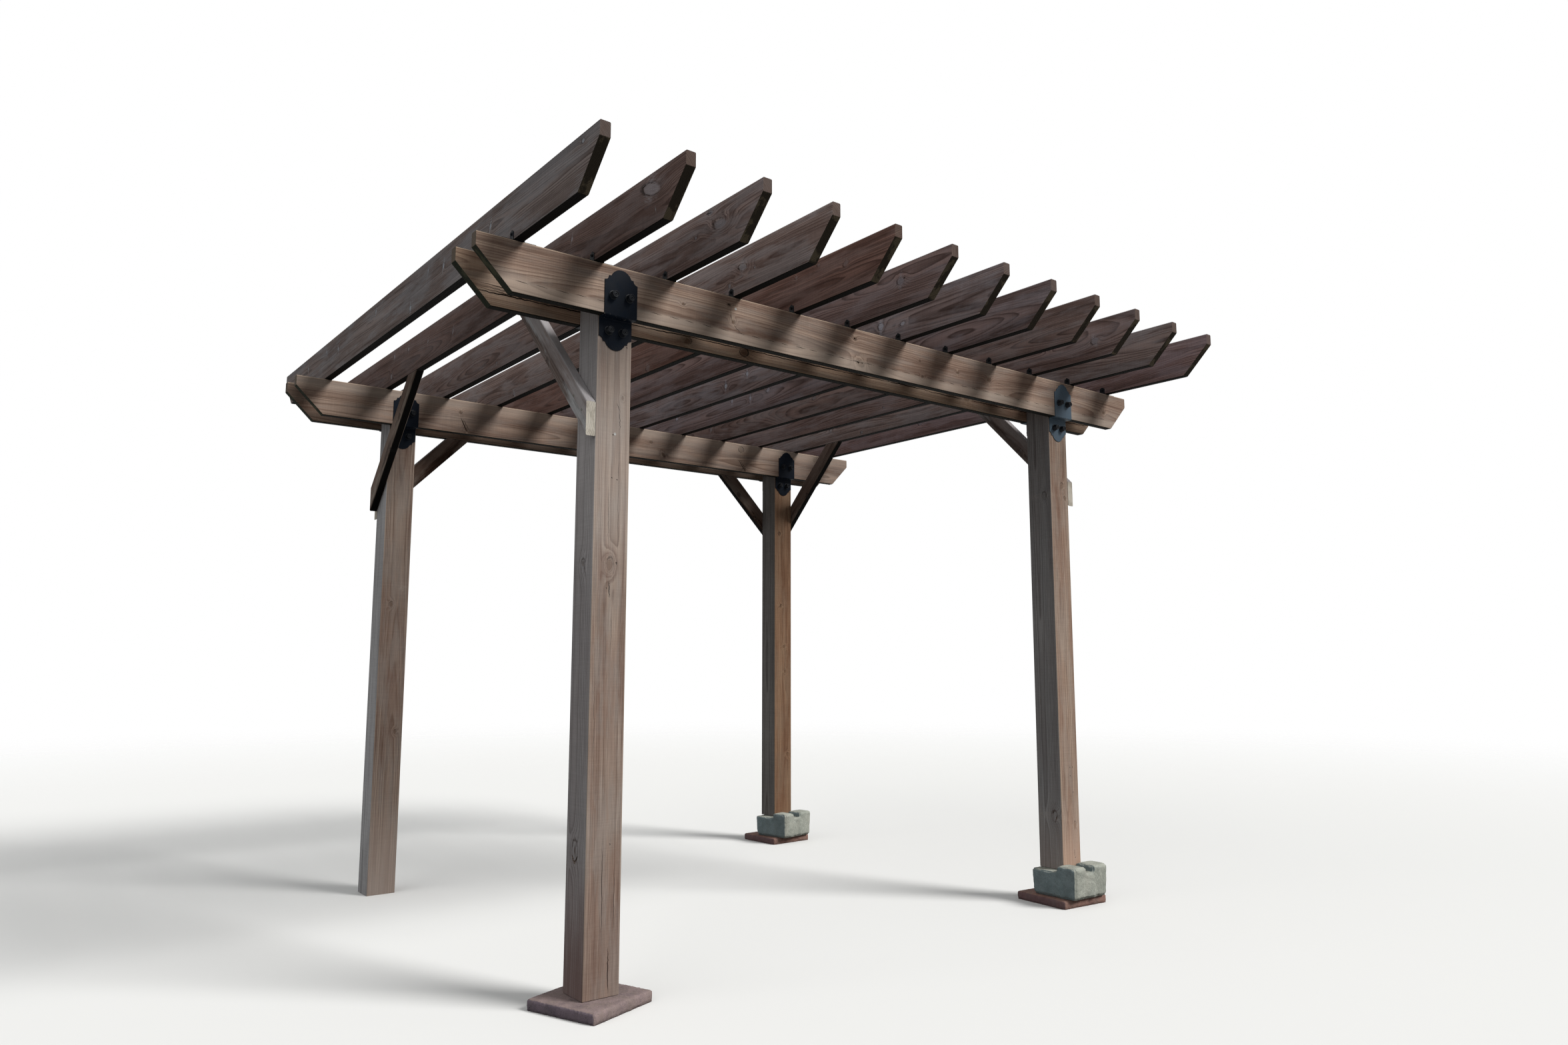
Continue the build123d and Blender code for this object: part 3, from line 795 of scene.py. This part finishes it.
def wornStone(node, wear):
    low, high = boxes[node]
    piece = workingCopy(node, node + "_cast")
    applyModifier(piece, "REMESH", mode="VOXEL", voxel_size=castWear["voxel"], use_smooth_shade=True)
    before = [vertex.co.copy() for vertex in piece.data.vertices]
    applyModifier(piece, "SMOOTH", factor=0.5, iterations=castWear["rounding"])
    arris = piece.vertex_groups.new(name="arris")
    for vertex, old in zip(piece.data.vertices, before):
        arris.add([vertex.index], min(1.0, (vertex.co - old).length / castWear["arrisReach"]), "REPLACE")
    for texture, strength, middle, group in ((coarseCloud, -2 * wear, 0.25, "arris"),
                                             (fineCloud, castWear["unevenness"], 1.0, ""),
                                             (pitCloud, castWear["pitting"], 1.0, "")):
        applyModifier(piece, "DISPLACE", texture=texture, texture_coords="LOCAL", strength=strength,
                      mid_level=middle, vertex_group=group)
    for vertex in piece.data.vertices:  # it stays in its own box and stands flat
        vertex.co.x = min(max(vertex.co.x, low.x), high.x)
        vertex.co.y = min(max(vertex.co.y, low.y), high.y)
        vertex.co.z = low.z if vertex.co.z < low.z + castWear["flatFoot"] else min(vertex.co.z, high.z)
    piece.vertex_groups.clear()
    return piece


def makeGritGroup():
    tree, given, put = newGroup("castGrit", {"Vector": None, "Grain Size": 0.004},
                                ("Blotch", "Grit", "Pits", "Streaks", "Sand"))
    place = given["Vector"]
    put("Sand", place.noise(430.0, 2.0, 0.7).remap(0.3, 0.7, kind="LINEAR"))
    put("Blotch", place.noise(14.0, 5.0, 0.65).remap(0.35, 0.68))
    many = addNode(tree, "ShaderNodeMath", {0: 1.0, 1: given["Grain Size"]}, operation="DIVIDE")[0]
    grit = addNode(tree, "ShaderNodeTexVoronoi", {"Vector": place, "Scale": many})["Color"]
    put("Grit", addNode(tree, "ShaderNodeSeparateColor", {0: grit})[0])
    put("Pits", place.noise(210.0, 3.0, 0.6).remap(0.64, 0.7))
    put("Streaks", place.stretch(26.0, 26.0, 3.0).noise(1.0, 3.0).remap(0.4, 0.7))
    return tree


gritGroup = makeGritGroup()


def stoneMaterial(name, finish):
    material, tree, surface, place = newMaterial(name)
    grit = placeGroup(tree, gritGroup, {"Vector": place, "Grain Size": finish["grain"]})
    colour = grit["Blotch"].mix(finish["light"], finish["dark"])
    colour = (grit["Grit"] * 0.3).mix(colour, finish["grit"])
    colour = multiplied(colour, grit["Sand"].spread(0.82, 1.18))
    colour = (grit["Streaks"] * 0.35).mix(colour, finish["stain"])
    damp = place.axes()[2] + grit["Blotch"] * 0.03
    damp = damp.remap(finish["dampTop"], finish["dampTop"] - 0.05, 0.0, 0.6)
    # the pits are painted dark, a painted shade in their hollows
    colour = (grit["Pits"] * 0.8).mix(damp.mix(colour, finish["damp"]), finish["pit"])
    # faces turned to -x get a painted shade, darker and bluer
    paintedShadeMask = addNode(tree, "ShaderNodeNewGeometry")["Normal"].axes()[0].remap(-0.45, -0.8)
    paintedShadeMask.mix(colour, tinted(tree, colour, finish["shadeTint"])).to(surface, "Base Color")
    grit["Blotch"].spread(0.95, 0.82).to(surface, "Roughness")
    surface.inputs["Specular IOR Level"].default_value = 0.25
    addBump(surface, grit["Grit"] * 0.3 + grit["Sand"] * 0.7 - grit["Pits"], 0.6, 0.0014)
    return material


blockFinish = {
    "light": rgb(178, 180, 168), "dark": rgb(142, 146, 136), "grit": rgb(120, 120, 114),
    "stain": rgb(150, 147, 136), "damp": rgb(104, 104, 94), "pit": rgb(66, 66, 62), "grain": 0.0035,
    "dampTop": 0.075, "shadeTint": (0.5, 0.61, 0.73, 1),
}
paverFinish = {
    "light": rgb(138, 104, 92), "dark": rgb(104, 74, 66), "grit": rgb(158, 134, 124),
    "stain": rgb(118, 106, 96), "damp": rgb(78, 62, 56), "pit": rgb(56, 40, 36), "grain": 0.003,
    "dampTop": 0.02, "shadeTint": (0.62, 0.64, 0.8, 1),
}
blockMaterial = stoneMaterial("castConcrete", blockFinish)
for node in ("block_front_right", "block_back_right"):
    handOver(wornStone(node, castWear["blockCorners"]), node, blockMaterial, "block_concrete")
frontPaverMaterial = stoneMaterial("mauvePaver", dict(
    paverFinish, light=rgb(138, 122, 120), dark=rgb(104, 92, 94)))
backPaverMaterial = stoneMaterial("redPaver", paverFinish)
for node, material in (("paver_front_left", frontPaverMaterial), ("paver_front_right", backPaverMaterial),
                       ("paver_back_right", backPaverMaterial)):
    handOver(wornStone(node, castWear["paverCorners"]), node, material, "paver_concrete")
print("blocks and pavers cast")


def makeCoatGroup():
    tree, given, put = newGroup("coatWear", {"Vector": None}, ("Orange Peel", "Chips", "Dust"))
    put("Orange Peel", given["Vector"].noise(900.0))
    put("Chips", given["Vector"].noise(230.0, 4.0, 0.7).remap(0.7, 0.74))
    put("Dust", given["Vector"].noise(18.0, 5.0, 0.65).remap(0.4, 0.75))
    return tree


coatGroup = makeCoatGroup()


def coatedSteel(name, finish):
    material, tree, surface, place = newMaterial(name)
    coat = placeGroup(tree, coatGroup, {"Vector": place})
    colour = (coat["Dust"] * finish["dusty"]).mix(finish["coat"], finish["dust"])
    colour = (coat["Chips"] * finish["chipped"]).mix(colour, finish["bare"])
    # the coat is knocked off in specks along the fold under the beam
    fold = (place.axes()[2] - finish["fold"]).math("ABSOLUTE").remap(0.003, 0.0015)
    colour = (fold * place.noise(120.0).remap(0.64, 0.69)).mix(colour, finish["bare"])
    colour.to(surface, "Base Color")
    coat["Dust"].spread(finish["rough"], finish["rough"] + 0.2).to(surface, "Roughness")
    surface.inputs["Specular IOR Level"].default_value = finish["shine"]
    addBump(surface, coat["Orange Peel"], 0.35, 0.0004)
    return material


# the blue in the black coat is a painted reflection of the sky
steelFinish = {"coat": rgb(3, 9, 19), "dust": rgb(26, 36, 48), "bare": rgb(120, 116, 110), "dusty": 0.25,
               "chipped": 0.5, "rough": 0.5, "shine": 0.07, "fold": 2.3865}
bracketMaterial = coatedSteel("blackBracketCoat", steelFinish)
# the front right bracket's lighter coat is a painted reflection of the sky
paintedSheenBracketMaterial = coatedSteel("paintedSheenBracketCoat", dict(
    steelFinish, coat=rgb(66, 81, 93), dust=rgb(84, 97, 108), shine=0.16))
boltMaterial = coatedSteel("blackBoltCoat", dict(
    steelFinish, coat=rgb(10, 13, 18), rough=0.4, dusty=0.12, shine=0.14))
tieMaterial = coatedSteel("blackTieCoat", dict(steelFinish, coat=rgb(12, 13, 16), rough=0.5, dusty=0.15))
screwMaterial = coatedSteel("deckScrewCoat", dict(
    steelFinish, coat=rgb(74, 76, 62), dust=rgb(110, 106, 92), rough=0.4, shine=0.3))
nailMaterial = coatedSteel("brightNail", dict(
    steelFinish, coat=rgb(190, 190, 186), dust=rgb(150, 146, 138), rough=0.35))
edgeWear = {"bracket": 0.0006, "tie": 0.0004}

for node in list(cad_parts):
    kind = "bracket" if node.startswith("bracket_") else "tie" if node.startswith("rafter_ties_") else None
    if kind:
        piece = workingCopy(node, node + "_steel")
        bevelEdges(piece, edgeWear[kind], 30)
        smoothByAngle(piece, 20)
        paintedSheen = node.startswith("bracket_front_right")
        coat = tieMaterial if kind == "tie" else paintedSheenBracketMaterial if paintedSheen else bracketMaterial
        handOver(piece, node, coat, kind + "_steel")
print("steel coated")


def addDisc(sides, radius, deep, sunk=0.0):
    # a flat cylinder that stands on the floor, or a little below it
    bpy.ops.mesh.primitive_cylinder_add(vertices=sides, radius=radius, depth=deep,
                                        location=(0, 0, deep / 2 - sunk))
    bpy.ops.object.transform_apply(location=True)
    return bpy.context.object


def shapeHead(piece, steps):
    # each step insets the top face, then raises or sinks it and changes its size
    bpy.ops.object.mode_set(mode="EDIT")
    bpy.ops.mesh.select_mode(type="FACE")
    bpy.ops.mesh.select_all(action="DESELECT")
    bpy.ops.object.mode_set(mode="OBJECT")
    for face in piece.data.polygons:
        face.select = face.normal.z > 0.9
    bpy.ops.object.mode_set(mode="EDIT")
    for inset, rise, scale in steps:
        bpy.ops.mesh.inset(thickness=inset)
        bpy.ops.mesh.extrude_region_move(TRANSFORM_OT_translate={"value": (0, 0, rise)})
        if scale != 1.0:
            bpy.ops.transform.resize(value=(scale, scale, 1))
    bpy.ops.object.mode_set(mode="OBJECT")


def finishHead(piece, arris, degrees):
    bevelEdges(piece, arris, 35)
    smoothByAngle(piece, degrees)
    return piece


boltSize = {
    "washer": 0.017, "washerDeep": 0.003, "barrel": 0.0142, "face": 0.0122, "long": 0.019, "rim": 0.0026,
    "recess": 0.002, "button": 0.0062, "socket": 0.003, "socketDeep": 0.003, "arris": 0.0005,
}


def makeBolt():
    size = boltSize
    deselectAll()
    bolt = addDisc(36, size["washer"], size["washerDeep"])
    shapeHead(bolt, [(size["washer"] - size["barrel"], size["long"], size["face"] / size["barrel"]),
                     (size["rim"], -size["recess"], 1.0),
                     (size["face"] - size["rim"] - size["button"], size["recess"] * 0.8, 0.9),
                     (size["button"] * 0.9 - size["socket"], -size["socketDeep"], 1.0)])
    return finishHead(bolt, size["arris"], 30)


hexScrewSize = {
    "flange": 0.0062, "flangeDeep": 0.0009, "hex": 0.0046, "high": 0.0036, "rim": 0.0011, "dish": 0.0011,
    "arris": 0.0003,
}


def makeHexScrew():
    size = hexScrewSize
    deselectAll()
    flange = addDisc(24, size["flange"], size["flangeDeep"])
    head = addDisc(6, size["hex"], size["high"])
    shapeHead(head, [(size["rim"], -size["dish"], 0.8)])
    return finishHead(joined([flange, head], "hexScrew"), size["arris"], 25)


deckScrewSize = {
    "head": 0.0048, "headDeep": 0.0012, "sunk": 0.0005, "rim": 0.0016, "dish": 0.0004, "ledge": 0.0012,
    "recess": 0.002, "arris": 0.0002,
}


def makeDeckScrew():
    # a countersunk head, its rim a hair proud of the wood, with a recess
    size = deckScrewSize
    deselectAll()
    screw = addDisc(24, size["head"], size["headDeep"], size["sunk"])
    shapeHead(screw, [(size["rim"], -size["dish"], 0.9), (size["ledge"], -size["recess"], 0.7)])
    return finishHead(screw, size["arris"], 30)


def copyAt(model, name, place, direction, spin):
    piece = bpy.data.objects.new(name, model.data.copy())
    bpy.context.scene.collection.objects.link(piece)
    facing = Vector(direction).to_track_quat("Z", "Y").to_matrix().to_4x4() @ Matrix.Rotation(spin, 4, "Z")
    piece.data.transform(Matrix.Translation(place) @ facing)
    return piece


# each bracket has two bolts on the board's leaf, above its fold, and two on the post's leaf, below it
boltPlaces = {"upper": 0.072, "upperApart": 0.033, "lower": 0.049, "lowerApart": 0.028}
boltModel = makeBolt()
chance = random.Random(11)
for row, side, outward in (("front", "outer", -1), ("front", "inner", 1), ("back", "inner", -1),
                           ("back", "outer", 1)):
    for end in ("left", "right"):
        low, high = boxes[f"bracket_{row}_{end}_{side}"]
        middle, upperLeaf = (low.x + high.x) / 2, low.y if outward < 0 else high.y
        boardLow, boardHigh = boxes[f"beam_{row}_{side}"]
        lowerLeaf = upperLeaf - outward * (boardHigh.y - boardLow.y)
        spots = [(middle + apart * boltPlaces["upperApart"], upperLeaf, boardLow.z + boltPlaces["upper"])
                 for apart in (-1, 1)]
        spots += [(middle + apart * boltPlaces["lowerApart"], lowerLeaf, boardLow.z - boltPlaces["lower"])
                  for apart in (-1, 1)]
        for number, spot in enumerate(spots, start=1):
            name = f"bolt_{row}_{end}_{side}_{number}"
            bolt = copyAt(boltModel, name, Vector(spot), (0, outward, 0), chance.uniform(0, 6))
            handOver(bolt, None, boltMaterial, "bracket_steel")
bpy.data.objects.remove(boltModel, do_unlink=True)
print("bolts set")

# a tie has one screw in each ear and one through the strap on each side of the rafter
tiePlaces = {"earUp": 0.0225, "earDeep": 0.002, "strapReach": 0.042}
screwModel = makeHexScrew()
for row in ("front", "back"):
    boardLow, boardHigh = boxes[f"beam_{row}_outer"]
    screws = []
    for number in range(1, 13):
        low, high = boxes[f"rafter_{number:02}"]
        middle, ear = (low.x + high.x) / 2, low.z + tiePlaces["earUp"]
        for x, z, direction in ((low.x - tiePlaces["earDeep"], ear, (-1, 0, 0)),
                                (high.x + tiePlaces["earDeep"], ear, (1, 0, 0)),
                                (middle - tiePlaces["strapReach"], low.z, (0, 0, 1)),
                                (middle + tiePlaces["strapReach"], low.z, (0, 0, 1))):
            place = Vector((x, (boardLow.y + boardHigh.y) / 2, z))
            screws.append(copyAt(screwModel, "screw", place, direction, chance.uniform(0, 6)))
    handOver(joined(screws, f"tie_screws_{row}"), None, tieMaterial, "tie_steel")
bpy.data.objects.remove(screwModel, do_unlink=True)

footScrews = {"up": 0.063, "reaches": (0.035, 0.098)}  # two at each brace's foot
deckScrewModel = makeDeckScrew()
for node in [name for name in timbers if "_brace_" in name]:
    low, high = boxes[node]
    left, front = "left" in node, "front" in node
    screws = []
    for reach in footScrews["reaches"]:
        z = low.z + footScrews["up"] + reach
        if "side" in node:
            foot = Vector((low.x if left else high.x, low.y + reach if front else high.y - reach, z))
            direction = (-1 if left else 1, 0, 0)
        else:
            foot = Vector((low.x + reach if left else high.x - reach, high.y, z))
            direction = (0, 1, 0)
        screws.append(copyAt(deckScrewModel, "screw", foot, direction, chance.uniform(0, 6)))
    handOver(joined(screws, node + "_screws"), None, screwMaterial, "tie_steel")
nails = [copyAt(deckScrewModel, "nail", onFace(node, spot), (0, -1, 0), 0)
         for node, spot in (("post_front_left", (-1.274, 1.964)), ("beam_front_outer", (-0.773, 2.525)))]
handOver(joined(nails, "stray_nail_heads"), None, nailMaterial, "tie_steel")
bpy.data.objects.remove(deckScrewModel, do_unlink=True)
print("screws set")


studio = {
    "floor": rgb(232, 231, 228), "floorBounce": rgb(92, 90, 87), "floorReach": 40.0, "fadeFrom": 5.0,
    "fadeTo": 16.0, "sunStrength": 3.4, "sunAngle": 21.0, "sunFrom": (0.63, -1.0, 1.0),
    "fillStrength": 0.8, "fillAngle": 60.0, "fillFrom": (-1.0, -0.2, 0.65),
    "skyStrength": 0.3, "skyColour": (0.93, 0.97, 1.0, 1.0),
}


def seenDirectly(tree):
    # 1 where the camera, a gloss or a glass looks at the background, 0 where it lights the object
    path = addNode(tree, "ShaderNodeLightPath")
    through = path["Is Glossy Ray"].math("MAXIMUM", path["Is Transmission Ray"])
    return path["Is Camera Ray"].math("MAXIMUM", through)


def blended(tree, share, first, second, end):
    first = Wire(first.outputs[0])
    addNode(tree, "ShaderNodeMixShader", {0: share, 1: first, 2: second})[0].to(tree.nodes[end], "Surface")


def makeStudio():
    deselectAll()
    bpy.ops.mesh.primitive_grid_add(x_subdivisions=8, y_subdivisions=8, size=2 * studio["floorReach"])
    floor = bpy.context.object
    floor.name = "studioFloor"
    material, tree, surface, place = newMaterial("studioFloorPaint")
    seenDirectly(tree).mix(studio["floorBounce"], studio["floor"]).to(surface, "Base Color")
    surface.inputs["Roughness"].default_value = 0.95
    surface.inputs["Specular IOR Level"].default_value = 0.1
    away = place.length().remap(studio["fadeFrom"], studio["fadeTo"])
    blended(tree, away, surface, addNode(tree, "ShaderNodeBsdfTransparent")[0], "Material Output")
    floor.data.materials.append(material)

    for lamp in ("sun", "fill"):
        bpy.ops.object.light_add(type="SUN", location=(0, 0, 6))
        light = bpy.context.object
        light.name = lamp + "Light"
        light.rotation_euler = Vector(studio[lamp + "From"]).to_track_quat("Z", "Y").to_euler()
        light.data.energy = studio[lamp + "Strength"]
        light.data.angle = math.radians(studio[lamp + "Angle"])

    world = bpy.data.worlds.new("paleStudio")
    bpy.context.scene.world = world
    world.use_nodes = True
    tree = world.node_tree
    sky = tree.nodes["Background"]
    sky.inputs[0].default_value = studio["skyColour"]
    sky.inputs[1].default_value = studio["skyStrength"]
    white = addNode(tree, "ShaderNodeBackground", {0: (1, 1, 1, 1), 1: 1.0})[0]
    blended(tree, seenDirectly(tree), sky, white, "World Output")


cameraPlace = {
    "place": (-3.0989, -4.4836, 1.1569), "pitch": 0.1309, "yaw": 0.6696, "lens": 24.221, "sensor": 36,
    "farthest": 200,
}


def makeCamera():
    deselectAll()
    bpy.ops.object.camera_add(location=cameraPlace["place"],
                              rotation=(math.pi / 2 + cameraPlace["pitch"], 0, -cameraPlace["yaw"]))
    camera = bpy.context.object
    camera.name = "photoCamera"
    camera.data.sensor_width = cameraPlace["sensor"]
    camera.data.lens = cameraPlace["lens"]
    camera.data.clip_end = cameraPlace["farthest"]
    bpy.context.scene.camera = camera


makeStudio()
makeCamera()
bpy.context.scene.view_settings.view_transform = "Standard"
print("studio and camera set")
